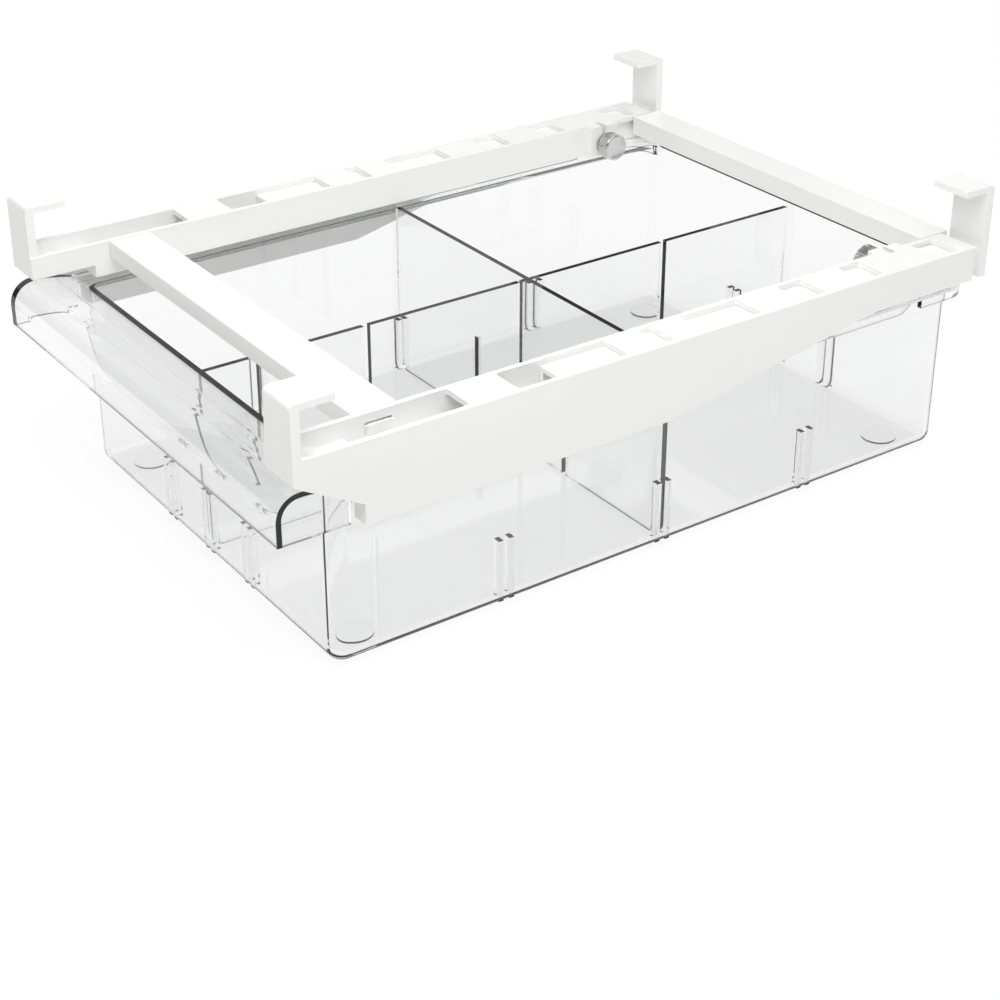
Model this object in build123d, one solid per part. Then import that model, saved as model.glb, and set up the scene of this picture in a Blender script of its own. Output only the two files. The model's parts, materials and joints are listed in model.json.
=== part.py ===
"""Under-shelf fridge drawer organizer.

A white moulded frame hangs from a fridge shelf by four hooks.  Its two rails are open-top
channels that hold a clear drawer by its side flanges, on a ledge inside each outer skirt.
The rear arms telescope in the rails to suit the shelf's depth and are locked by two
knurled thumbscrews.  Two clear dividers slot together across the drawer.

Millimetres.  +Z is up, +X is the right-hand side, and the handle is at -Y.  The origin is
under the middle of the part's length and width, on the plane where the drawer's feet stand.
"""
import os
from math import cos, pi, sin

from build123d import *

# ---------------------------------------------------------------- driving dimensions
# drawer tub, clear moulding
TUB_L = 279.0            # outside length of the tub, front wall to rear wall
TUB_H = 75.0             # table to rim
TUB_WALL = 2.2           # wall thickness
FLOOR_T = 2.4            # floor thickness
CORNER_R = 6.0           # outside radius of the upright corners
BASE_R = 5.0             # outside radius along the bottom edges
FOOT_D = 14.0            # diameter of a foot pad
FOOT_H = 0.8             # height of a foot pad
FOOT_INSET = 16.0        # foot centre in from the tub's side and end
FLANGE_OUT = 11.0        # how far each side flange reaches past the tub wall
FLANGE_T = 2.2           # flange thickness
FLANGE_SKIRT_T = 2.0     # thickness of the flange's turned-down edge
FLANGE_SKIRT_H = 4.8     # depth of the turned-down edge below the rim
FLANGE_REAR_R = 12.0     # radius of the flange's rear corners
NOTCH_BACK = 27.5        # rear wall to the notch's square stop face
NOTCH_L = 5.5            # flat length of the stop notch
NOTCH_RAMP = 4.5         # length of the notch's front ramp
NOTCH_H = 3.2            # height of the notch in the skirt

# handle, moulded on the tub
HANDLE_REACH = 25.0      # front wall to the face of the handle lip
HANDLE_RISE = 3.0        # crest of the handle above the rim
HANDLE_DROP = 14.0       # lip edge below the rim
HANDLE_T = 2.4           # handle thickness
HANDLE_R = 9.0           # outside radius of the curl
HANDLE_SLOPE_L = 11.0    # front wall to where the handle's top levels off
HANDLE_CREST_R = 24.0    # radius of the soft bend there
HANDLE_END_T = 2.0       # thickness of the end panels
PANEL_BACK = 1.3         # end panels' reach behind the front wall

# rib pairs on the tub's inside walls, and the dividers that stand between them
RIB_T = 2.0              # thickness of one rib
RIB_OUT = 3.0            # how far a rib stands off the wall
RIB_H = 23.0             # rib height above the floor
DIVIDER_T = 2.2          # panel thickness
DIVIDER_SIDE_CLEAR = 0.15    # divider to rib, each side
DIVIDER_END_CLEAR = 1.0  # divider to wall, each end
DIVIDER_FOOT_CLEAR = 0.1     # divider to floor
DIVIDER_CORNER_R = 5.0   # radius of the dividers' lower corners
LONG_BELOW_RIM = 1.5     # top of the lengthwise divider below the rim
CROSS_ABOVE_RIM = 1.0    # top of the crosswise divider above the rim
SLOT_CLEAR = 0.2         # slot to panel, each side
LONG_SLOT_FLOOR = 18.0   # material left under the lengthwise divider's slots
CROSS_SLOT_H = 36.0      # height of the crosswise divider's slots
FIRST_SLOT_AT = 23.5     # front wall to the lengthwise divider's extra slot

# rails of the frame, white mouldings
FRAME_HALF = 105.0       # middle to the outside face of a rail
RAIL_L = 294.0           # length of a rail
RAIL_W = 17.5            # width of a rail
RAIL_H = 13.3            # height of the channel
RAIL_T = 2.0             # wall, floor and top plate thickness
RIM_GAP = 2.7            # drawer rim to the underside of the rails
RAIL_SIDE_GAP = 1.8      # drawer flange to the inside of the rail's skirt
LEDGE_OVERLAP = 2.9      # how far the ledge reaches in under the flange
LEDGE_FROM_RAIL = 25.0   # rail front to the front end of the ledge
LEDGE_T = 7.5            # height of the ledge bar
LEDGE_TOP_L = 155.0      # length of the ledge at its top
SKIRT_L = 121.0          # full-depth length of the outer skirt
SKIRT_TAPER = 99.0       # length over which the skirt rises to the channel
FRONT_RELIEF = 4.8       # channel underside raised over the handle
STOP_RIB_AT = 43.0       # front end of the ledge to the middle of the stop rib
REAR_RIB_IN = 12.0       # rear end of the ledge's top to the middle of the rear rib
LEDGE_RIB_L = 3.0        # length of a ledge rib
LEDGE_RIB_H = 1.2        # height of a ledge rib
RUN_CLEAR = 0.1          # flange skirt to the ledge ribs
STOP_GAP = 0.5           # air left at each end of the drawer's travel
SHUT_GAP = 3.2           # handle's end panels to the ledges as pictured
OPENING_IN = 2.0         # inner wall face to the openings in the top plate
OPENING_OUT = 2.0        # outer face to the openings in the top plate
OPENING_R = 0.8          # corner radius of the openings
OPENINGS = ((3.3, 62.7), (85.0, 45.0), (144.0, 6.0), (163.0, 26.0), (208.0, 11.5),
            (238.0, 10.5), (275.5, 11.5))    # start and length along the rail

# hooks
HOOK_T = 3.3             # thickness of the upright plates
HOOK_W = 16.5            # width of a hook
FRONT_GAP = 17.0         # rail top to the underside of the front hooks
FRONT_LIP_L = 15.8       # length of the front hooks' lips
GUSSET_L = 13.5          # length of the ramp at the foot of a front hook
REAR_GAP = 21.0          # rail top to the underside of the rear hooks
REAR_LIP_L = 14.6        # length of the rear hooks' lips
LIP_T = 2.4              # lip thickness
HOOK_R = 2.0             # outside radius at the top of the upright plate

# crossbars
BAR_AT = 31.5            # rail front to the front crossbar
BAR_W = 17.0             # width of the front crossbar
BAR_H = 7.1              # height of the front crossbar
REAR_BAR_W = 14.4        # width of the rear crossbar
REAR_BAR_H = 8.0         # height of the rear crossbar
REAR_BAR_SET = 2.7       # rear crossbar to the back of the rear hooks
BAR_T = 2.0              # crossbar wall thickness
BAR_END_CLEAR = 0.1      # front crossbar to the rails' inner walls
REAR_BAR_END_CLEAR = 0.6     # rear crossbar to the rails' top plates
TONGUE_W = 10.0          # width of the tongues at the crossbars' ends
TONGUE_T = 3.0           # thickness of the tongues
TONGUE_L = 1.8           # tongue past the wall that it goes through
TONGUE_CLEAR = 0.1       # tongue to its slot
BARB_H = 0.8             # height of the snap barb on a tongue
BARB_L = 0.8             # length of the snap barb

# rear arms, which telescope in the rails
ARM_OVERLAP = 191.0      # arm length inside the rail as pictured
ARM_PAST_RAIL = 3.6      # rail end to the rear hooks as pictured
ARM_T = 1.8              # wall thickness of the arm
ARM_CLEAR = 0.2          # arm to the rail's inside faces
ARM_WEB_H = 13.0         # height of the web that carries the rear hook

# thumbscrews and the bosses that they turn in
SCREW_FROM_END = 28.5    # rail end to the screw axis
SCREW_BELOW_TOP = 7.6    # rail top to the screw axis
STUD_D = 4.0             # stud diameter
THREAD_CLEAR = 0.05      # stud to insert, radial
HEAD_D = 11.6            # diameter over the knurl
HEAD_L = 6.0             # length of the knurled head
KNURL_N = 40             # number of knurl teeth
KNURL_DEPTH = 0.35       # depth of the knurl
NECK_D = 6.6             # diameter of the neck behind the head
NECK_L = 1.6             # length of the neck
WASHER_D = 9.4           # washer diameter
WASHER_T = 1.0           # washer thickness
WASHER_GAP = 0.3         # washer to boss as pictured
TIP_GAP = 0.05           # stud tip to the arm as pictured
BOSS_OUT = 3.2           # how far the boss stands off the rail's inner wall
BOSS_L = 15.0            # length of the boss along the rail
INSERT_D = 6.4           # outside diameter of the threaded insert
INSERT_CLEAR = 0.02      # insert to its hole, radial
SLIT_W = 2.3             # width of the slit above the screw

# ---------------------------------------------------------------- derived sizes
# widths, from the middle outwards
RAIL_IN = FRAME_HALF - RAIL_W                       # inside face of a rail
CAVITY_IN = RAIL_IN + RAIL_T                        # inside of the channel, inner side
CAVITY_OUT = FRAME_HALF - RAIL_T                    # inside of the channel, outer side
FLANGE_HALF = CAVITY_OUT - RAIL_SIDE_GAP            # outer edge of the drawer's flanges
TUB_HALF = FLANGE_HALF - FLANGE_OUT                 # outside face of the tub
CAV_HALF = TUB_HALF - TUB_WALL                      # inside face of the tub
LEDGE_IN = FLANGE_HALF - LEDGE_OVERLAP              # inner edge of the ledge

# heights, from the table upwards
TUB_Z0 = FOOT_H                                     # underside of the tub's floor
FLOOR_Z = TUB_Z0 + FLOOR_T                          # top of the tub's floor
RAIL_Z0 = TUB_H + RIM_GAP                           # underside of the channel
RAIL_TOP = RAIL_Z0 + RAIL_H                         # top of the rails
SKIRT_EDGE_Z = TUB_H - FLANGE_SKIRT_H               # edge of the flange's skirt
LEDGE_TOP_Z = SKIRT_EDGE_Z - RUN_CLEAR - LEDGE_RIB_H
LEDGE_Z0 = LEDGE_TOP_Z - LEDGE_T
FRONT_Z0 = RAIL_Z0 + FRONT_RELIEF                   # underside of the channel over the handle
HANDLE_TOP = TUB_H + HANDLE_RISE
HANDLE_EDGE = TUB_H - HANDLE_DROP

# lengths, from the front backwards; the whole part is centred on the origin
TUB_FROM_RAIL = LEDGE_FROM_RAIL - SHUT_GAP - PANEL_BACK
HOOK_BACK_FROM_RAIL = RAIL_L + ARM_PAST_RAIL + HOOK_T
OVERALL_L = HOOK_BACK_FROM_RAIL - TUB_FROM_RAIL + HANDLE_REACH
Y_RAIL = -OVERALL_L / 2 + HANDLE_REACH - TUB_FROM_RAIL      # front face of the rails
Y_TUB = Y_RAIL + TUB_FROM_RAIL                      # outside of the front wall
Y_TUB_END = Y_TUB + TUB_L                           # outside of the rear wall
Y_LEDGE = Y_RAIL + LEDGE_FROM_RAIL
Y_RAIL_END = Y_RAIL + RAIL_L
Y_POST = Y_RAIL_END + ARM_PAST_RAIL                 # front face of the rear hooks' plates
Y_POST_END = Y_POST + HOOK_T
Y_REAR_BAR = Y_POST_END - REAR_BAR_SET - REAR_BAR_W          # front face of the rear crossbar
Y_SCREW = Y_RAIL_END - SCREW_FROM_END
Z_SCREW = RAIL_TOP - SCREW_BELOW_TOP
Z_FRONT_TONGUE = RAIL_TOP - BAR_H + TONGUE_T / 2    # middle of the front crossbar's tongues
Z_REAR_TONGUE = RAIL_TOP - REAR_BAR_H + TONGUE_T / 2     # middle of the rear crossbar's tongues
Y_STOP_RIB = Y_LEDGE + STOP_RIB_AT
Y_REAR_RIB = Y_LEDGE + LEDGE_TOP_L - REAR_RIB_IN
Y_NOTCH_STOP = Y_TUB_END - NOTCH_BACK

# the divider grid
Y_CROSS = Y_TUB + TUB_L / 2
CROSS_STATIONS = [Y_TUB + TUB_L * k / 4 for k in (1, 2, 3)]
LONG_STATIONS = [CAV_HALF * k / 3 for k in (-1, 0, 1)]
SLOT_W = DIVIDER_T + 2 * SLOT_CLEAR
RIB_GAP = DIVIDER_T + 2 * DIVIDER_SIDE_CLEAR


# ---------------------------------------------------------------- small helpers
def block(x0, x1, y0, y1, z0, z1):
    """A box between two opposite corners."""
    middle = Pos((x0 + x1) / 2, (y0 + y1) / 2, (z0 + z1) / 2)
    return middle * Box(x1 - x0, y1 - y0, z1 - z0)


def side_prism(points, x0, x1):
    """A prism along X whose outline is given as (y, z) points."""
    outline = make_face(Polyline(*points, close=True))
    return extrude(Plane.YZ.offset(x0) * outline, amount=x1 - x0)


def rod(diameter, x0, x1):
    """A cylinder along X on the screw's axis."""
    disc = Plane.YZ.offset(x0) * Pos(Y_SCREW, Z_SCREW) * Circle(diameter / 2)
    return extrude(disc, amount=x1 - x0)


def upright_edges(solid, radius):
    """Round a solid's upright edges."""
    return fillet(solid.edges().filter_by(Axis.Z), radius)


def to_left(solid):
    """The left-hand twin of a right-hand piece."""
    return mirror(solid, about=Plane.YZ)


# ---------------------------------------------------------------- rails
def hook(y_plate, y_lip0, y_lip1, z0, z_under):
    """An upright plate with a flat lip, at the right-hand side."""
    x0 = FRAME_HALF - HOOK_W
    top = z_under + LIP_T
    plate = block(x0, FRAME_HALF, y_plate, y_plate + HOOK_T, z0, top)
    lip = block(x0, FRAME_HALF, y_lip0, y_lip1, z_under, top)
    return plate + lip


def rail_openings():
    """Cutters for the row of openings in a rail's top plate."""
    cutters = []
    for start, length in OPENINGS:
        y0 = Y_RAIL + start
        cutter = block(RAIL_IN + OPENING_IN, FRAME_HALF - OPENING_OUT,
                       y0, y0 + length, RAIL_TOP - 2 * RAIL_T, RAIL_TOP + RAIL_T)
        cutters.append(upright_edges(cutter, OPENING_R))
    return cutters


def hook_gusset():
    """The ramp in the channel that stiffens the foot of a front hook."""
    y0, y1 = Y_RAIL + HOOK_T - 1.0, Y_RAIL + HOOK_T + GUSSET_L
    return side_prism([(y0, RAIL_TOP - 0.6), (y0 + 1.0, RAIL_TOP - 0.6),
                       (y1, FRONT_Z0 + RAIL_T), (y1, FRONT_Z0 + RAIL_T / 2),
                       (y0, FRONT_Z0 + RAIL_T / 2)],
                      CAVITY_IN - RAIL_T / 2, CAVITY_OUT + RAIL_T / 2)


def tongue_slot(y_mid, z_mid):
    """The slot in a rail's inner wall for a front crossbar tongue."""
    half_w = TONGUE_W / 2 + TONGUE_CLEAR
    half_t = TONGUE_T / 2 + TONGUE_CLEAR
    return block(RAIL_IN - RAIL_T, CAVITY_IN + RAIL_T / 2, y_mid - half_w, y_mid + half_w,
                 z_mid - half_t, z_mid + half_t + BARB_H)


def ledge():
    """The bar that carries the drawer's flange, with its two riding ribs."""
    bar = side_prism([(Y_LEDGE, LEDGE_Z0), (Y_LEDGE + SKIRT_L, LEDGE_Z0),
                      (Y_LEDGE + LEDGE_TOP_L, LEDGE_TOP_Z), (Y_LEDGE, LEDGE_TOP_Z)],
                     LEDGE_IN, FRAME_HALF)
    for y_mid in (Y_STOP_RIB, Y_REAR_RIB):
        bar += block(LEDGE_IN, FRAME_HALF - RAIL_T / 2,
                     y_mid - LEDGE_RIB_L / 2, y_mid + LEDGE_RIB_L / 2,
                     LEDGE_TOP_Z - RAIL_T / 2, LEDGE_TOP_Z + LEDGE_RIB_H)
    return bar


def right_rail():
    """One rail: channel, outer skirt, ledge, front hook and thumbscrew boss."""
    outer_wall = side_prism(
        [(Y_RAIL, RAIL_TOP), (Y_RAIL_END, RAIL_TOP), (Y_RAIL_END, RAIL_Z0),
         (Y_LEDGE + SKIRT_L + SKIRT_TAPER, RAIL_Z0), (Y_LEDGE + SKIRT_L, LEDGE_Z0),
         (Y_LEDGE, LEDGE_Z0), (Y_LEDGE, LEDGE_TOP_Z), (Y_RAIL, FRONT_Z0)],
        CAVITY_OUT, FRAME_HALF)
    inner_end = Y_SCREW + BOSS_L / 2
    inner_wall = side_prism(
        [(Y_RAIL, RAIL_TOP), (inner_end, RAIL_TOP), (inner_end, RAIL_Z0),
         (Y_LEDGE, RAIL_Z0), (Y_LEDGE, FRONT_Z0), (Y_RAIL, FRONT_Z0)],
        RAIL_IN, CAVITY_IN)
    top = block(RAIL_IN, FRAME_HALF, Y_RAIL, Y_RAIL_END, RAIL_TOP - RAIL_T, RAIL_TOP)
    floor = block(RAIL_IN, FRAME_HALF, Y_LEDGE, Y_RAIL_END, RAIL_Z0, RAIL_Z0 + RAIL_T)
    front_floor = block(RAIL_IN, FRAME_HALF, Y_RAIL, Y_LEDGE + RAIL_T,
                        FRONT_Z0, FRONT_Z0 + RAIL_T)
    front_step = block(RAIL_IN, FRAME_HALF, Y_LEDGE, Y_LEDGE + RAIL_T,
                       RAIL_Z0, FRONT_Z0 + RAIL_T)
    boss = block(RAIL_IN - BOSS_OUT, CAVITY_IN, Y_SCREW - BOSS_L / 2, inner_end,
                 RAIL_Z0, RAIL_TOP)
    boss = fillet(boss.edges().filter_by(Axis.Z).sort_by(Axis.X)[:2], 1.2)
    rail = outer_wall + inner_wall + top + floor + front_floor + front_step + boss + ledge()
    rail += hook(Y_RAIL, Y_RAIL, Y_RAIL + FRONT_LIP_L, FRONT_Z0, RAIL_TOP + FRONT_GAP)
    for cutter in rail_openings():
        rail -= cutter
    rail += hook_gusset()
    rail -= rod(INSERT_D + 2 * INSERT_CLEAR, RAIL_IN - 2 * BOSS_OUT, CAVITY_IN + RAIL_T / 4)
    rail -= block(RAIL_IN - 2 * BOSS_OUT, CAVITY_IN + RAIL_T / 2,
                  Y_SCREW - SLIT_W / 2, Y_SCREW + SLIT_W / 2, Z_SCREW, RAIL_TOP + RAIL_T)
    rail -= tongue_slot(Y_RAIL + BAR_AT + BAR_W / 2, Z_FRONT_TONGUE)
    plate_top = rail.edges().filter_by(Axis.X).filter_by_position(
        Axis.Z, RAIL_TOP + FRONT_GAP + LIP_T - 0.01, RAIL_TOP + FRONT_GAP + LIP_T + 0.01)
    return fillet(plate_top.sort_by(Axis.Y)[:1], HOOK_R)


# ---------------------------------------------------------------- crossbars
def trough(half_length, y0, width, z0, z1):
    """An inverted channel across the frame: a top plate with two turned-down sides."""
    bar = block(-half_length, half_length, y0, y0 + width, z0, z1)
    bar -= block(-half_length + BAR_T, half_length - BAR_T,
                 y0 + BAR_T, y0 + width - BAR_T, z0 - BAR_T, z1 - BAR_T)
    return bar


def tongue(x0, x1, y_mid, z_mid):
    """A snap tongue at the right-hand end of a crossbar."""
    half_w = TONGUE_W / 2
    half_t = TONGUE_T / 2
    blade = block(x0, x1, y_mid - half_w, y_mid + half_w, z_mid - half_t, z_mid + half_t)
    barb = block(x1 - BARB_L, x1, y_mid - half_w, y_mid + half_w,
                 z_mid, z_mid + half_t + BARB_H)
    return blade + barb


def front_crossbar():
    """The bar that joins the two rails near the front."""
    half_length = RAIL_IN - BAR_END_CLEAR
    y0 = Y_RAIL + BAR_AT
    bar = trough(half_length, y0, BAR_W, RAIL_TOP - BAR_H, RAIL_TOP)
    snap = tongue(half_length - BAR_T / 2, CAVITY_IN + TONGUE_L, y0 + BAR_W / 2,
                  Z_FRONT_TONGUE)
    return bar + snap + to_left(snap)


def rear_crossbar():
    """The bar that joins the two rear arms."""
    half_length = RAIL_IN - REAR_BAR_END_CLEAR
    bar = trough(half_length, Y_REAR_BAR, REAR_BAR_W, RAIL_TOP - REAR_BAR_H, RAIL_TOP)
    arm_in = CAVITY_IN + ARM_CLEAR
    snap = tongue(half_length - BAR_T / 2, arm_in + ARM_T + TONGUE_L,
                  Y_REAR_BAR + REAR_BAR_W / 2, Z_REAR_TONGUE)
    return bar + snap + to_left(snap)


# ---------------------------------------------------------------- rear arms
def right_rear_arm():
    """A telescoping arm with its rear hook: an inverted channel that fits the rail."""
    x0 = CAVITY_IN + ARM_CLEAR
    x1 = CAVITY_OUT - ARM_CLEAR
    z0 = RAIL_Z0 + RAIL_T + ARM_CLEAR
    z1 = RAIL_TOP - RAIL_T - ARM_CLEAR
    y0 = Y_RAIL_END - ARM_OVERLAP
    arm = block(x0, x1, y0, Y_POST + HOOK_T / 2, z0, z1)
    arm -= block(x0 + ARM_T, x1 - ARM_T, y0 - ARM_T, Y_POST, z0 - ARM_T, z1 - ARM_T)
    y_mid = Y_REAR_BAR + REAR_BAR_W / 2
    z_mid = Z_REAR_TONGUE
    half_w = TONGUE_W / 2 + TONGUE_CLEAR
    half_t = TONGUE_T / 2 + TONGUE_CLEAR
    arm -= block(x0 - ARM_T, x0 + 1.5 * ARM_T, y_mid - half_w, y_mid + half_w,
                 z_mid - half_t, z_mid + half_t + BARB_H)
    rear_hook = hook(Y_POST, Y_POST_END - REAR_LIP_L, Y_POST_END,
                     RAIL_TOP - ARM_WEB_H, RAIL_TOP + REAR_GAP)
    arm += rear_hook
    lip_top = RAIL_TOP + REAR_GAP + LIP_T
    plate_top = arm.edges().filter_by(Axis.X).filter_by_position(
        Axis.Z, lip_top - 0.01, lip_top + 0.01)
    return fillet(plate_top.sort_by(Axis.Y)[-1:], HOOK_R)


# ---------------------------------------------------------------- thumbscrews
def screw_layout():
    """X stations of the right-hand screw, from the head's face to the tip."""
    tip = CAVITY_IN + ARM_CLEAR - TIP_GAP
    washer_out = RAIL_IN - BOSS_OUT - WASHER_GAP
    washer_in = washer_out - WASHER_T
    neck_in = washer_in - NECK_L
    head_in = neck_in - HEAD_L
    return head_in, neck_in, washer_in, washer_out, tip


def right_thumbscrew():
    """A knurled head, a neck and a stud in one piece."""
    head_in, neck_in, washer_in, washer_out, tip = screw_layout()
    points = []
    for k in range(2 * KNURL_N):
        radius = HEAD_D / 2 - (KNURL_DEPTH if k % 2 else 0.0)
        angle = pi * k / KNURL_N
        points.append((Y_SCREW + radius * cos(angle), Z_SCREW + radius * sin(angle)))
    knurl = side_prism(points, head_in + 0.6, neck_in - 0.6)
    core = rod(HEAD_D - 2 * KNURL_DEPTH - 0.2, head_in, neck_in)
    core = chamfer(core.edges().sort_by(Axis.X)[:1], 0.4)
    neck = rod(NECK_D, neck_in - 0.3, washer_in)
    stud = rod(STUD_D, washer_in - 0.3, tip)
    stud = chamfer(stud.edges().sort_by(Axis.X)[-1:], 0.4)
    return core + knurl + neck + stud


def right_washer():
    """The flat washer on the stud, between the neck and the boss."""
    head_in, neck_in, washer_in, washer_out, tip = screw_layout()
    ring = rod(WASHER_D, washer_in, washer_out)
    return ring - rod(STUD_D + 2 * THREAD_CLEAR, washer_in - 1, washer_out + 1)


def right_insert():
    """The threaded insert in the boss."""
    sleeve = rod(INSERT_D, RAIL_IN - BOSS_OUT, CAVITY_IN)
    return sleeve - rod(STUD_D + 2 * THREAD_CLEAR, RAIL_IN - 2 * BOSS_OUT, CAVITY_IN + RAIL_T)


# ---------------------------------------------------------------- drawer
def tub_shell():
    """The open box with rounded corners and bottom edges."""
    y_mid = Y_TUB + TUB_L / 2
    outer = extrude(Pos(0, y_mid, TUB_Z0) * RectangleRounded(2 * TUB_HALF, TUB_L, CORNER_R),
                    amount=TUB_H - TUB_Z0)
    outer = fillet(outer.faces().sort_by(Axis.Z)[0].edges(), BASE_R)
    return outer


def tub_cavity():
    """The space inside the tub, open at the rim."""
    y_mid = Y_TUB + TUB_L / 2
    width = 2 * CAV_HALF
    length = TUB_L - 2 * TUB_WALL
    cavity = extrude(Pos(0, y_mid, FLOOR_Z) * RectangleRounded(width, length,
                                                               CORNER_R - TUB_WALL),
                     amount=TUB_H - FLOOR_Z + FLANGE_T)
    return fillet(cavity.faces().sort_by(Axis.Z)[0].edges(), BASE_R - TUB_WALL)


def flange_outline(inset, z0, z1):
    """A block with the flange's outline, drawn in by an inset all round but the front."""
    half = FLANGE_HALF - inset
    plate = block(-half, half, Y_TUB, Y_TUB_END - inset, z0, z1)
    rear_edges = plate.edges().filter_by(Axis.Z).sort_by(Axis.Y)[-2:]
    return fillet(rear_edges, FLANGE_REAR_R - inset)


def flange():
    """The side flanges with their turned-down edges and stop notches."""
    rim = flange_outline(0.0, SKIRT_EDGE_Z, TUB_H)
    rim -= flange_outline(FLANGE_SKIRT_T, SKIRT_EDGE_Z - FLANGE_T, TUB_H - FLANGE_T)
    notch = side_prism(
        [(Y_NOTCH_STOP, SKIRT_EDGE_Z - FLANGE_T), (Y_NOTCH_STOP, SKIRT_EDGE_Z + NOTCH_H),
         (Y_NOTCH_STOP - NOTCH_L, SKIRT_EDGE_Z + NOTCH_H),
         (Y_NOTCH_STOP - NOTCH_L - NOTCH_RAMP, SKIRT_EDGE_Z),
         (Y_NOTCH_STOP - NOTCH_L - NOTCH_RAMP, SKIRT_EDGE_Z - FLANGE_T)],
        FLANGE_HALF - 1.5 * FLANGE_SKIRT_T, FLANGE_HALF + FLANGE_SKIRT_T)
    return rim - notch - to_left(notch)


def handle_face(inset):
    """The handle's outline in (y, z), drawn in by an inset, as a face."""
    y_lip = Y_TUB - HANDLE_REACH + inset
    top = HANDLE_TOP - inset
    foot = HANDLE_EDGE - (1.0 if inset else 0.0)
    crest = Y_TUB - HANDLE_SLOPE_L
    outline = Polyline((Y_TUB, foot), (y_lip, foot), (y_lip, top), (crest, top),
                       (Y_TUB, TUB_H - inset), close=True)
    face = make_face(outline)
    curl = face.vertices().sort_by_distance((y_lip, top, 0))[0]
    face = fillet(curl, HANDLE_R - inset)
    bend = face.vertices().sort_by_distance((crest, top, 0))[0]
    return fillet(bend, HANDLE_CREST_R - inset)


def handle():
    """The full-width pull: a curl forward of the rim, closed by a panel at each end."""
    half = FLANGE_HALF
    curl = extrude(Plane.YZ.offset(-half) * handle_face(0.0), amount=2 * half)
    inside = half - HANDLE_END_T
    curl -= extrude(Plane.YZ.offset(-inside) * handle_face(HANDLE_T), amount=2 * inside)
    panel = block(half - HANDLE_END_T, half, Y_TUB - HANDLE_T, Y_TUB + PANEL_BACK,
                  HANDLE_EDGE, TUB_H)
    return curl + panel + to_left(panel)


def ribs():
    """The rib pairs inside the tub that hold the dividers' edges."""
    offset = (RIB_GAP + RIB_T) / 2
    z0 = FLOOR_Z - FLOOR_T / 2
    z1 = FLOOR_Z + RIB_H
    pieces = []
    for y_mid in CROSS_STATIONS:
        for y in (y_mid - offset, y_mid + offset):
            rib = block(CAV_HALF - RIB_OUT, CAV_HALF + TUB_WALL / 2,
                        y - RIB_T / 2, y + RIB_T / 2, z0, z1)
            pieces += [rib, to_left(rib)]
    y_in = Y_TUB + TUB_WALL
    y_back = Y_TUB_END - TUB_WALL
    for x_mid in LONG_STATIONS:
        for x in (x_mid - offset, x_mid + offset):
            pieces.append(block(x - RIB_T / 2, x + RIB_T / 2,
                                y_in - TUB_WALL / 2, y_in + RIB_OUT, z0, z1))
            pieces.append(block(x - RIB_T / 2, x + RIB_T / 2,
                                y_back - RIB_OUT, y_back + TUB_WALL / 2, z0, z1))
    return pieces


def feet():
    """Four round pads under the floor."""
    pads = []
    for x in (-TUB_HALF + FOOT_INSET, TUB_HALF - FOOT_INSET):
        for y in (Y_TUB + FOOT_INSET, Y_TUB_END - FOOT_INSET):
            pads.append(Pos(x, y, FOOT_H) * Cylinder(FOOT_D / 2, 2 * FOOT_H))
    return pads


def drawer_tub():
    """The clear drawer: tub, side flanges, handle, ribs and feet in one moulding."""
    tub = tub_shell() + flange() - tub_cavity() + handle()
    for piece in ribs() + feet():
        tub += piece
    return tub


# ---------------------------------------------------------------- dividers
def lengthwise_divider():
    """The panel along the drawer, with slots open at the top."""
    y0 = Y_TUB + TUB_WALL + DIVIDER_END_CLEAR
    y1 = Y_TUB_END - TUB_WALL - DIVIDER_END_CLEAR
    z0 = FLOOR_Z + DIVIDER_FOOT_CLEAR
    z1 = TUB_H - LONG_BELOW_RIM
    panel = block(-DIVIDER_T / 2, DIVIDER_T / 2, y0, y1, z0, z1)
    panel = fillet(panel.edges().filter_by(Axis.X).group_by(Axis.Z)[0], DIVIDER_CORNER_R)
    for y in [Y_TUB + FIRST_SLOT_AT] + CROSS_STATIONS:
        slot = block(-DIVIDER_T, DIVIDER_T, y - SLOT_W / 2, y + SLOT_W / 2,
                     z0 + LONG_SLOT_FLOOR, z1 + 1.0)
        panel -= slot
    return panel


def crosswise_divider():
    """The panel across the drawer, with slots open at the bottom."""
    half = CAV_HALF - DIVIDER_END_CLEAR
    z0 = FLOOR_Z + DIVIDER_FOOT_CLEAR
    z1 = TUB_H + CROSS_ABOVE_RIM
    panel = block(-half, half, Y_CROSS - DIVIDER_T / 2, Y_CROSS + DIVIDER_T / 2, z0, z1)
    panel = fillet(panel.edges().filter_by(Axis.Y).group_by(Axis.Z)[0], DIVIDER_CORNER_R)
    for x in LONG_STATIONS:
        panel -= block(x - SLOT_W / 2, x + SLOT_W / 2, Y_CROSS - DIVIDER_T,
                       Y_CROSS + DIVIDER_T, z0 - 1.0, z0 + CROSS_SLOT_H)
    return panel


# ---------------------------------------------------------------- export
def build():
    """Every node of the part by name."""
    rail = right_rail()
    arm = right_rear_arm()
    screw = right_thumbscrew()
    washer = right_washer()
    insert = right_insert()
    return {
        "right_rail": rail,
        "left_rail": to_left(rail),
        "front_crossbar": front_crossbar(),
        "right_rear_arm": arm,
        "left_rear_arm": to_left(arm),
        "rear_crossbar": rear_crossbar(),
        "right_thumbscrew": screw,
        "left_thumbscrew": to_left(screw),
        "right_washer": washer,
        "left_washer": to_left(washer),
        "threaded_inserts": Compound(children=[insert, to_left(insert)]),
        "drawer_tub": drawer_tub(),
        "lengthwise_divider": lengthwise_divider(),
        "crosswise_divider": crosswise_divider(),
    }


os.makedirs("parts", exist_ok=True)
for name, solid in build().items():
    export_step(solid, f"parts/{name}.step")
    size = solid.bounding_box().size
    print(f"{name:20s} {size.X:7.1f} {size.Y:7.1f} {size.Z:7.1f} mm")
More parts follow.
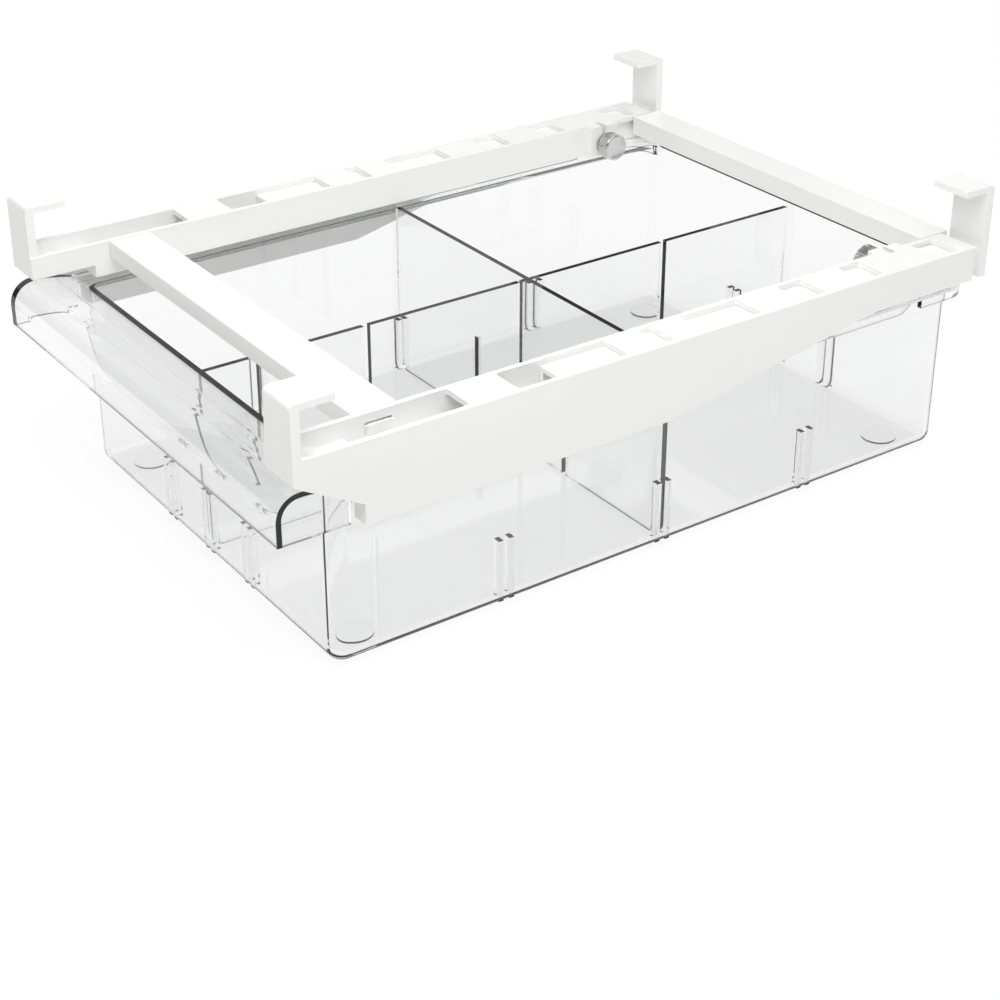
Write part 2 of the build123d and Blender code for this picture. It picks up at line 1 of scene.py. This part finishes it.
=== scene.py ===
# %% [markdown]
# # A fridge drawer organizer in moulded plastic
#
# The object is a clear drawer that hangs in a white frame, and the frame hooks under a fridge
# shelf.  The construction is a finished CAD model that is never moved or resized here.  This
# lesson gives it its surfaces: satin white ABS, crystal-clear polystyrene, nickel-plated steel
# and brass, then a pale studio and the camera of the product picture.

# %% Load the frame
import json
import math

import bmesh
import bpy
import numpy as np
from mathutils import Euler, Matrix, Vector


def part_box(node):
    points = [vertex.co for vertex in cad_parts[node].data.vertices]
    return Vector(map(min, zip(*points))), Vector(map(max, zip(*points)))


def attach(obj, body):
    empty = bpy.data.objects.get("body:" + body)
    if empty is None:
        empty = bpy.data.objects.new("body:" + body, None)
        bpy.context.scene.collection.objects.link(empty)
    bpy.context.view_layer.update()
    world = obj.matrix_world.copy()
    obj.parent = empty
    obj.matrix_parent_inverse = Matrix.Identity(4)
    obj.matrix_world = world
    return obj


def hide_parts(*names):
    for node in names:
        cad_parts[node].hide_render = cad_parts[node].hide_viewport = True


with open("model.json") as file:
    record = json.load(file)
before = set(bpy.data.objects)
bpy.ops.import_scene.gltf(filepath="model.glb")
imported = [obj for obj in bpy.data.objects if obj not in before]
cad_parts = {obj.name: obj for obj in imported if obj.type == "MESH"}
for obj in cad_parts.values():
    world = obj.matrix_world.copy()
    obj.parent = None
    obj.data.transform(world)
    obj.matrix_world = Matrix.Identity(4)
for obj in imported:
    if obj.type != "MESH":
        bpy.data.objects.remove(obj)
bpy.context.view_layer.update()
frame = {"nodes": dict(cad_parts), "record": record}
MM = 0.001
print("nodes:", len(frame["nodes"]))


# %% [markdown]
# ## Two small helpers
#
# Colours are written the way a paint chart gives them, as sRGB hex values, and turned into the
# linear values that a shader works in.  A shader graph is then only a list of nodes with their
# settings and links, so one function that adds a node is all that the materials need.

# %% Colour and node helpers
def linear(hex_colour):
    """sRGB to linear: v/12.92 under 0.04045, else ((v + 0.055)/1.055) to the power 2.4."""
    digits = hex_colour.lstrip("#")
    srgb = np.array([int(digits[i:i + 2], 16) for i in (0, 2, 4)]) / 255
    low = srgb / 12.92
    high = ((srgb + 0.055) / 1.055) ** 2.4
    return (*np.where(srgb <= 0.04045, low, high).tolist(), 1.0)


def new_material(name):
    """An empty node material, and its node tree."""
    material = bpy.data.materials.new(name)
    material.use_nodes = True
    material.node_tree.nodes.clear()
    return material, material.node_tree


def add(tree, kind, links=None, **settings):
    """Add one node.  A setting is a socket's value or, with no such socket, the node's own."""
    node = tree.nodes.new(kind)
    for key, value in settings.items():
        socket = key.replace("_", " ")
        if hasattr(node, key):
            setattr(node, key, value)
        else:
            node.inputs[socket].default_value = value
    for socket, source in (links or {}).items():
        tree.links.new(source, node.inputs[socket])
    return node


# %% [markdown]
# ## White ABS
#
# The frame is injection moulded in white ABS.  Its mould was spark eroded to a fine satin
# texture, so a highlight on it is broad and soft.  The real grains lie about 0.2 mm apart and
# are drawn at 0.5 mm, or they wouldn't show.  Two noise patterns give that: a fine one that
# only bumps the surface, and a slow one that varies the gloss and the white a little, as the
# flow of the melt does.

# %% White ABS, spark-eroded satin
GRAIN_MM, ABS_FLOW_MM = 0.5, 40
NOISE_LOW, NOISE_HIGH = 0.3, 0.7          # a noise pattern stays mostly between these
COLOUR_A, COLOUR_B, COLOUR_OUT = 6, 7, 2  # a Mix node's sockets when it mixes colours


def satin_abs():
    """Satin white: fine grains bump the surface, and a slow flow varies gloss and white."""
    material, tree = new_material("white_abs_satin")
    coords = add(tree, "ShaderNodeTexCoord")
    grain = add(tree, "ShaderNodeTexNoise", {"Vector": coords.outputs["Object"]},
                Scale=1 / (GRAIN_MM * MM), Detail=2.0, Roughness=0.5)
    flow = add(tree, "ShaderNodeTexNoise", {"Vector": coords.outputs["Object"]},
               Scale=1 / (ABS_FLOW_MM * MM), Detail=2.0)
    gloss = add(tree, "ShaderNodeMapRange", {"Value": flow.outputs["Fac"]},
                From_Min=NOISE_LOW, From_Max=NOISE_HIGH, To_Min=0.30, To_Max=0.40)
    tone = add(tree, "ShaderNodeMix", {"Factor": flow.outputs["Fac"]}, data_type="RGBA")
    tone.inputs[COLOUR_A].default_value = linear("#efefee")
    tone.inputs[COLOUR_B].default_value = linear("#f3f3f2")
    bump = add(tree, "ShaderNodeBump", {"Height": grain.outputs["Fac"]},
               Strength=0.12, Distance=0.05 * MM)
    shader = add(tree, "ShaderNodeBsdfPrincipled",
                 {"Base Color": tone.outputs[COLOUR_OUT], "Roughness": gloss.outputs["Result"],
                  "Normal": bump.outputs["Normal"]}, IOR=1.53)
    add(tree, "ShaderNodeOutputMaterial", {"Surface": shader.outputs["BSDF"]})
    return material


WHITE_ABS = satin_abs()
print(WHITE_ABS.name, len(WHITE_ABS.node_tree.nodes), "nodes")


# %% [markdown]
# ## Clear polystyrene
#
# The drawer and its dividers are crystal polystyrene from a polished mould.  Light that crosses
# a 2 mm wall hardly dims, but light that travels inside a wall to its edge passes centimetres
# of plastic.  That is why the edges of such a tub look grey and its faces look like air.  The
# shader says just that: a refracting surface, and a volume that absorbs a little per metre.
# What it absorbs is the density times one minus the tint, about 17 per metre: 2 mm let 97 % of
# the light through and 50 mm let 43 % through.  Thin clear walls throw almost no shadow, so
# shadow rays pass straight through them.

# %% Clear polystyrene, polished
PS_FLOW_MM = 45
PS_TINT, PS_DENSITY = "#bfc1c2", 36.0


def clear_polystyrene():
    """Polished clear plastic: it refracts and absorbs, and lets shadow rays straight through."""
    material, tree = new_material("clear_polystyrene_polished")
    coords = add(tree, "ShaderNodeTexCoord")
    flow = add(tree, "ShaderNodeTexNoise", {"Vector": coords.outputs["Object"]},
               Scale=1 / (PS_FLOW_MM * MM), Detail=2.0)
    gloss = add(tree, "ShaderNodeMapRange", {"Value": flow.outputs["Fac"]},
                From_Min=NOISE_LOW, From_Max=NOISE_HIGH, To_Min=0.0, To_Max=0.04)
    bump = add(tree, "ShaderNodeBump", {"Height": flow.outputs["Fac"]},
               Strength=0.15, Distance=0.4 * MM)
    shader = add(tree, "ShaderNodeBsdfPrincipled",
                 {"Roughness": gloss.outputs["Result"], "Normal": bump.outputs["Normal"]},
                 Base_Color=linear("#fefefe"), IOR=1.49, Transmission_Weight=1.0)
    straight = add(tree, "ShaderNodeBsdfTransparent", Color=linear("#f6f6f6"))
    light = add(tree, "ShaderNodeLightPath")
    either = add(tree, "ShaderNodeMixShader", {"Fac": light.outputs["Is Shadow Ray"]})
    # both shader sockets of a Mix Shader have the same name, so they go by number
    tree.links.new(shader.outputs["BSDF"], either.inputs[1])
    tree.links.new(straight.outputs["BSDF"], either.inputs[2])
    absorb = add(tree, "ShaderNodeVolumeAbsorption",
                 Color=linear(PS_TINT), Density=PS_DENSITY)
    add(tree, "ShaderNodeOutputMaterial",
        {"Surface": either.outputs["Shader"], "Volume": absorb.outputs["Volume"]})
    return material


CLEAR_PS = clear_polystyrene()
print(CLEAR_PS.name, len(CLEAR_PS.node_tree.nodes), "nodes")


# %% [markdown]
# ## Nickel-plated steel and brass
#
# The thumbscrews are turned steel with a bright nickel plate.  Turning leaves fine rings round
# the axis, 0.1 mm apart or less, drawn here at 0.4 mm so that they show.  The pattern is a wave
# on the distance from the screw's axis, and a Mapping node brings that axis to the pattern's
# centre.  The inserts that the screws run in are machined brass with the same kind of rings.

# %% Nickel-plated steel, turned
SCREW_LOW, SCREW_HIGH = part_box("right_thumbscrew")
SCREW_Y = (SCREW_LOW[1] + SCREW_HIGH[1]) / 2
SCREW_Z = (SCREW_LOW[2] + SCREW_HIGH[2]) / 2
RING_MM = 0.4
WAVE_PERIOD = 0.314       # a wave texture at scale 1 repeats at this distance


def turned_metal(name, tone, roughness):
    """Bare metal with rings round the screws' axis that vary its roughness and bump it."""
    material, tree = new_material(name)
    coords = add(tree, "ShaderNodeTexCoord")
    centred = add(tree, "ShaderNodeMapping", {"Vector": coords.outputs["Object"]},
                  Location=(0, -SCREW_Y, -SCREW_Z))
    rings = add(tree, "ShaderNodeTexWave", {"Vector": centred.outputs["Vector"]},
                wave_type="RINGS", rings_direction="X", Scale=WAVE_PERIOD / (RING_MM * MM),
                Distortion=0.4, Detail=1.0)
    gloss = add(tree, "ShaderNodeMapRange", {"Value": rings.outputs["Fac"]},
                To_Min=roughness - 0.05, To_Max=roughness + 0.07)
    bump = add(tree, "ShaderNodeBump", {"Height": rings.outputs["Fac"]},
               Strength=0.12, Distance=0.03 * MM)
    shader = add(tree, "ShaderNodeBsdfPrincipled",
                 {"Roughness": gloss.outputs["Result"], "Normal": bump.outputs["Normal"]},
                 Base_Color=linear(tone), Metallic=1.0)
    add(tree, "ShaderNodeOutputMaterial", {"Surface": shader.outputs["BSDF"]})
    return material


NICKEL = turned_metal("nickel_plated_steel_turned", "#d2d2d2", 0.18)
BRASS = turned_metal("brass_machined", "#d9b36a", 0.28)
print("screw axis at y %.1f mm, z %.1f mm" % (SCREW_Y / MM, SCREW_Z / MM))


# %% [markdown]
# ## Which piece gets which finish
#
# The CAD model's record says for each node what it is made of, so the finishes go on by that
# word and no node is named here.

# %% Put each finish on its nodes
FINISHES = {"frame_plastic": WHITE_ABS, "clear_plastic": CLEAR_PS,
            "nickel": NICKEL, "brass": BRASS}
slots = {part["node"]: part["material_slot"] for part in frame["record"]["subparts"]}
for node, obj in frame["nodes"].items():
    obj.data.materials.clear()
    obj.data.materials.append(FINISHES[slots[node]])
print({slot: sum(s == slot for s in slots.values()) for slot in FINISHES})


# %% [markdown]
# ## Moulded edges
#
# No edge of a moulding is sharp: the mould's corners are rounded by 0.3 to 1 mm, and that
# round catches the light as a thin line.  The CAD solids have crisp edges.  Each white
# moulding is therefore shown by a copy of its surface whose loose triangles are joined and
# whose flat faces are made whole, and a Bevel modifier rounds the copy's edges.  An edge gets
# less rounding where a face beside it is narrow, through its bevel weight.  The clear mouldings
# keep their own surface: a round in clear plastic bends the light into a band that is wider
# and darker than the thin line of a polished edge.

# %% Copies with rounded edges
EDGE_RADIUS_MM = 0.7
MERGE_MM = 0.002                    # corners of loose triangles this close are one corner
FLAT_ANGLE = math.radians(0.4)      # triangles that turn less than this make one flat face
SHARP_ANGLE = math.radians(35)      # an edge that turns more than this is rounded
ROOM_SHARE = 0.4                    # the share of a narrow face that a round may take
BODY_OF = {node: body for body, nodes in frame["record"]["behaviour"]["bodies"].items()
           for node in nodes}


def face_width(face):
    """The width of a long face: twice its area over its perimeter."""
    return 2 * face.calc_area() / face.calc_perimeter()


def rounded_copy(node):
    """A joined copy of a node whose sharp edges are rounded.

    An edge's weight is the radius that its narrower face has room for, over the full radius.
    """
    work = bmesh.new()
    work.from_mesh(frame["nodes"][node].data)
    bmesh.ops.remove_doubles(work, verts=work.verts, dist=MERGE_MM * MM)
    bmesh.ops.dissolve_limit(work, angle_limit=FLAT_ANGLE, verts=work.verts, edges=work.edges)
    weight = work.edges.layers.float.new("bevel_weight_edge")
    width = {face: face_width(face) for face in work.faces}
    for edge in work.edges:
        if len(edge.link_faces) == 2 and edge.calc_face_angle() > SHARP_ANGLE:
            room = ROOM_SHARE * min(width[face] for face in edge.link_faces)
            edge[weight] = min(1.0, room / (EDGE_RADIUS_MM * MM))
    mesh = bpy.data.meshes.new(node + "_moulded")
    work.to_mesh(mesh)
    work.free()
    mesh.polygons.foreach_set("use_smooth", [True] * len(mesh.polygons))
    obj = bpy.data.objects.new(node + "_moulded", mesh)
    bpy.context.collection.objects.link(obj)
    bevel = obj.modifiers.new("rounded_edges", "BEVEL")
    bevel.limit_method, bevel.width, bevel.segments = "WEIGHT", EDGE_RADIUS_MM * MM, 3
    bevel.use_clamp_overlap = True
    shading = obj.modifiers.new("flat_faces", "WEIGHTED_NORMAL")
    shading.weight = 100
    obj.data.materials.append(FINISHES[slots[node]])
    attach(obj, BODY_OF[node])
    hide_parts(node)
    return obj


for node, slot in slots.items():
    if slot == "frame_plastic":
        rounded_copy(node)
print("edges rounded on", sum(slot == "frame_plastic" for slot in slots.values()), "mouldings")


# %% [markdown]
# ## Thumbscrews
#
# A thumbscrew is turned from bar in one piece: a head with a straight knurl, a neck and an M4
# stud.  All of it is one surface of revolution whose radius also depends on the angle: the
# knurl is a wave of 40 teeth round the head, and the thread is a wave that climbs one pitch in
# each turn.  A grid of radii, row by row along the axis, says this directly.  The sizes are in
# millimetres, and the left screw is the right one mirrored, with its thread still right-handed.

# %% Turned surface
def turned_surface(name, x, r, axis_y, axis_z):
    """A surface turned about an axis along X: (x, axis_y + r cos t, axis_z + r sin t).

    x holds one rising value for each row, and r is a row-by-column array, so the radius may
    change with the angle t.  A fan of triangles closes each end.
    """
    rows, columns = r.shape
    t = np.linspace(0, 2 * np.pi, columns, endpoint=False)
    grid = np.stack([np.broadcast_to(x[:, None], r.shape),
                     axis_y + r * np.cos(t), axis_z + r * np.sin(t)], -1).reshape(-1, 3)
    points = np.concatenate([grid, [[x[0], axis_y, axis_z], [x[-1], axis_y, axis_z]]])
    j = np.arange(columns)
    after = (j + 1) % columns
    row = np.arange(rows - 1)[:, None] * columns
    quads = np.stack([row + j, row + after, row + columns + after, row + columns + j], -1)
    last = (rows - 1) * columns
    start = np.stack([np.full(columns, rows * columns), after, j], -1)
    end = np.stack([np.full(columns, rows * columns + 1), last + j, last + after], -1)
    mesh = bpy.data.meshes.new(name)
    mesh.from_pydata(points.tolist(), [],
                     quads.reshape(-1, 4).tolist() + start.tolist() + end.tolist())
    mesh.polygons.foreach_set("use_smooth", [True] * len(mesh.polygons))
    mesh.set_sharp_from_angle(angle=math.radians(32))
    mesh.update()
    obj = bpy.data.objects.new(name, mesh)
    bpy.context.collection.objects.link(obj)
    return obj


# %% Knurled head, neck and threaded stud
HEAD_X, TIP_X = SCREW_LOW[0] / MM, SCREW_HIGH[0] / MM
HEAD_R = (SCREW_HIGH[2] - SCREW_LOW[2]) / 2 / MM
HEAD_L, NECK_L, STUD_R, NECK_R, PITCH = 6.0, 1.6, 2.0, 3.3, 0.7
SCREW_L = TIP_X - HEAD_X
DISH_DEPTH, DISH_R, FACE_R = 0.35, 4.3, 5.0   # the hollow in the head's end, and its rim
ROUND_L, ROUND_R = 0.12, 5.3                  # how far the head's rounded corner reaches
CHAMFER_L, KNURL_START = 0.5, 0.75            # from the head's ends to its chamfer and teeth
TEETH, TOOTH_COLUMNS, KNURL_DEPTH = 40, 6, 0.35
THREAD_DEPTH, ROWS_PER_TURN = 0.38, 10


def thumbscrew(name, side):
    """A row is (x from the head's end, radius, share of the knurl, share of the thread).

    The radius is the profile's, less the knurl's depth times (half less half the cosine of
    the teeth's angle) to the power 0.8, and less the thread's depth times a triangle wave of
    x over the pitch less the angle in turns.
    """
    profile = [(DISH_DEPTH, 0.6, 0, 0), (DISH_DEPTH, DISH_R, 0, 0), (0.05, 4.8, 0, 0),
               (0.0, FACE_R, 0, 0), (ROUND_L, ROUND_R, 0, 0),
               (CHAMFER_L, HEAD_R - 0.05, 0.2, 0), (KNURL_START, HEAD_R, 1, 0)]
    profile += [(HEAD_L - KNURL_START, HEAD_R, 1, 0), (HEAD_L - CHAMFER_L, HEAD_R - 0.05, 0.2, 0),
                (HEAD_L - ROUND_L, ROUND_R, 0, 0), (HEAD_L, FACE_R, 0, 0),
                (HEAD_L, NECK_R + 0.2, 0, 0), (HEAD_L + 0.2, NECK_R, 0, 0)]
    neck_end = HEAD_L + NECK_L
    profile += [(neck_end - 0.1, NECK_R, 0, 0), (neck_end, NECK_R - 0.1, 0, 0),
                (neck_end, STUD_R, 0, 0)]
    first, last = neck_end + 0.4, SCREW_L - 0.45
    steps = np.linspace(first, last, int((last - first) / PITCH * ROWS_PER_TURN))
    profile += [(step, STUD_R, 0, 1) for step in steps]
    profile += [(SCREW_L - 0.35, STUD_R - 0.2, 0, 0), (SCREW_L, STUD_R - 0.45, 0, 0)]
    x, radius, knurl, thread = np.array(profile).T
    t = np.linspace(0, 2 * np.pi, TEETH * TOOTH_COLUMNS, endpoint=False)
    tooth = (0.5 - 0.5 * np.cos(TEETH * t)) ** 0.8
    x = (HEAD_X + x) * side
    if side < 0:
        x, radius, knurl, thread = x[::-1], radius[::-1], knurl[::-1], thread[::-1]
    turn = (x[:, None] / PITCH - t / (2 * np.pi)) % 1
    groove = 1 - np.abs(2 * turn - 1)
    r = (radius[:, None] - KNURL_DEPTH * knurl[:, None] * tooth
         - THREAD_DEPTH * thread[:, None] * groove)
    obj = turned_surface(name, x * MM, r * MM, SCREW_Y, SCREW_Z)
    obj.data.materials.append(NICKEL)
    return obj


for side, word in ((1, "right"), (-1, "left")):
    screw = thumbscrew(word + "_knurled_screw", side)
    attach(screw, BODY_OF[word + "_thumbscrew"])
    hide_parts(word + "_thumbscrew")
    print(screw.name, len(screw.data.polygons), "faces")


# %% [markdown]
# ## Studio
#
# White and clear goods are photographed on a light table: a sheet of opal acrylic that glows
# from below, so that no shadow greys the clear walls.  The sheet is far wider than the object,
# so that its rim is never near.  It lies a quarter of a millimetre under the feet, so that the
# clear floor of the drawer and the sheet don't share a plane.

# %% Floor
FLOOR_RADIUS, FLOOR_DROP = 8.0, 0.25 * MM


def round_floor(radius, drop, columns=96):
    """A flat disc a little below the feet: (radius cos t, radius sin t, -drop)."""
    t = np.linspace(0, 2 * np.pi, columns, endpoint=False)
    points = np.stack([radius * np.cos(t), radius * np.sin(t), np.full(columns, -drop)], -1)
    mesh = bpy.data.meshes.new("floor")
    mesh.from_pydata(points.tolist(), [], [list(range(columns))])
    return mesh


def opal_acrylic():
    """The light table's sheet: it reflects a sixth of the light and glows by itself."""
    material, tree = new_material("opal_acrylic_light_table")
    shader = add(tree, "ShaderNodeBsdfPrincipled", Base_Color=linear("#707070"),
                 Roughness=0.9, Specular_IOR_Level=0.1, Emission_Color=linear("#ffffff"),
                 Emission_Strength=0.86)
    add(tree, "ShaderNodeOutputMaterial", {"Surface": shader.outputs["BSDF"]})
    return material


floor = bpy.data.objects.new("floor", round_floor(FLOOR_RADIUS, FLOOR_DROP))
floor.data.materials.append(opal_acrylic())
bpy.context.collection.objects.link(floor)
print("floor", tuple(round(d, 2) for d in floor.dimensions), "m")


# %% [markdown]
# ## Backdrop
#
# A low camera looks past the end of the table.  A lit wall of the same sheet stands there, and
# only the camera sees it: to the clear walls and the metal the room behind stays dim, which is
# what draws their edges.

# %% Backdrop
WALL_RADIUS, WALL_HEIGHT, WALL_FOOT = 7.9, 6.0, 0.01   # just inside the floor's rim, in metres


def round_wall(radius, height, foot, columns=96):
    """An upright band round the table: (radius cos t, radius sin t, -foot or height)."""
    t = np.linspace(0, 2 * np.pi, columns, endpoint=False)
    ring = np.stack([radius * np.cos(t), radius * np.sin(t), np.zeros(columns)], -1)
    points = np.concatenate([ring - [0, 0, foot], ring + [0, 0, height]])
    j = np.arange(columns)
    after = (j + 1) % columns
    mesh = bpy.data.meshes.new("backdrop")
    mesh.from_pydata(points.tolist(), [],
                     np.stack([j, after, columns + after, columns + j], -1).tolist())
    return mesh


backdrop = bpy.data.objects.new("backdrop", round_wall(WALL_RADIUS, WALL_HEIGHT, WALL_FOOT))
backdrop.data.materials.append(floor.data.materials[0])
bpy.context.collection.objects.link(backdrop)
backdrop.visible_diffuse = backdrop.visible_glossy = backdrop.visible_transmission = False
backdrop.visible_shadow = False
print("backdrop", tuple(round(d, 2) for d in backdrop.dimensions), "m")


# %% [markdown]
# ## Light
#
# A large softbox hangs above.  Fills at the front, behind, at both sides and over the drawer
# bring the white frame's upright and inner faces up to the white of its tops.  A lamp seen
# through a clear wall would wash out that wall's edges, so the fills can't be seen through
# one.  The tent around is dim, and a little dimmer in front than behind, which shades the
# faces that look forward and draws the edges of the clear pieces.

# %% Light
MIDDLE = (0, 0, 0.05)     # the middle of the object, in metres


def area_light(name, place, aim, width, height, watts, clear=True):
    """A softbox at place that looks at aim, in metres and watts.

    One with clear=False doesn't show through clear walls.
    """
    light = bpy.data.lights.new(name, "AREA")
    light.shape = "RECTANGLE"
    light.size, light.size_y, light.energy = width, height, watts
    obj = bpy.data.objects.new(name, light)
    obj.location = place
    obj.rotation_euler = (Vector(aim) - Vector(place)).to_track_quat("-Z", "Y").to_euler()
    obj.visible_transmission = clear
    bpy.context.collection.objects.link(obj)
    return obj


area_light("softbox_above", (0.1, 0.2, 1.5), MIDDLE, 1.8, 1.6, 10.5)
area_light("fill_right", (1.2, 0.0, 0.95), MIDDLE, 1.6, 1.0, 2.2, clear=False)
area_light("fill_front", (0.0, -1.2, 0.95), MIDDLE, 1.6, 1.0, 3.4, clear=False)
area_light("fill_left", (-1.3, 0.1, 0.55), MIDDLE, 1.6, 1.0, 3.0, clear=False)
area_light("fill_inside", (0.20, -0.13, 0.50), (-0.05, 0.12, 0.08), 0.4, 0.4, 1.5, clear=False)
area_light("fill_behind", (0.1, 1.3, 0.55), MIDDLE, 1.6, 1.0, 3.0, clear=False)

TENT_FRONT, TENT_BEHIND = 0.16, 0.28      # how bright the tent is

world = bpy.data.worlds.new("light_tent")
world.use_nodes = True
bpy.context.scene.world = world
tree = world.node_tree
tree.nodes.clear()
coords = add(tree, "ShaderNodeTexCoord")
split = add(tree, "ShaderNodeSeparateXYZ", {"Vector": coords.outputs["Generated"]})
front = add(tree, "ShaderNodeMapRange", {"Value": split.outputs["Y"]},
            From_Min=-1.0, From_Max=0.2, To_Min=TENT_FRONT, To_Max=TENT_BEHIND)
sky = add(tree, "ShaderNodeBackground", {"Strength": front.outputs["Result"]},
          Color=linear("#ffffff"))
add(tree, "ShaderNodeOutputWorld", {"Surface": sky.outputs["Background"]})


# %% [markdown]
# ## Camera
#
# The camera was worked out from the picture: the rails give one set of vanishing lines and the
# crossbars another, and together with the hooks they fix the lens, the height and the distance.
# The picture's middle lies off the optical axis, as in a cropped picture, and the lens shift
# puts it there.  Clear walls stand one behind another, so light may be bent many times.

# %% Camera
PICTURE_PX = 1000                         # the picture's width and height
FOCAL_PX = 1993.6                         # the focal length
CENTRE_PX = (495.6, 400.0)                # where the optical axis meets the picture
AZIMUTH, ELEVATION = math.radians(54.88), math.radians(26.82)
DISTANCE, AIM_HEIGHT = 0.7774, 0.0260     # in metres

camera = bpy.data.cameras.new("camera")
camera.sensor_width = 36.0
camera.lens = FOCAL_PX / PICTURE_PX * camera.sensor_width
camera.shift_x = (PICTURE_PX / 2 - CENTRE_PX[0]) / PICTURE_PX
camera.shift_y = (CENTRE_PX[1] - PICTURE_PX / 2) / PICTURE_PX
camera.clip_start, camera.clip_end = 0.01, 50
view = bpy.data.objects.new("camera", camera)
back = Vector((math.sin(AZIMUTH) * math.cos(ELEVATION),
               -math.cos(AZIMUTH) * math.cos(ELEVATION), math.sin(ELEVATION)))
view.location = Vector((0, 0, AIM_HEIGHT)) + back * DISTANCE
view.rotation_euler = Euler((math.pi / 2 - ELEVATION, 0, AZIMUTH))
bpy.context.collection.objects.link(view)
scene = bpy.context.scene
scene.camera = view
scene.view_settings.view_transform = "Standard"
scene.cycles.max_bounces = 24
scene.cycles.transmission_bounces = 20
scene.cycles.blur_glossy = 0.0
scene.cycles.use_denoising = True
print("lens %.1f mm" % camera.lens)
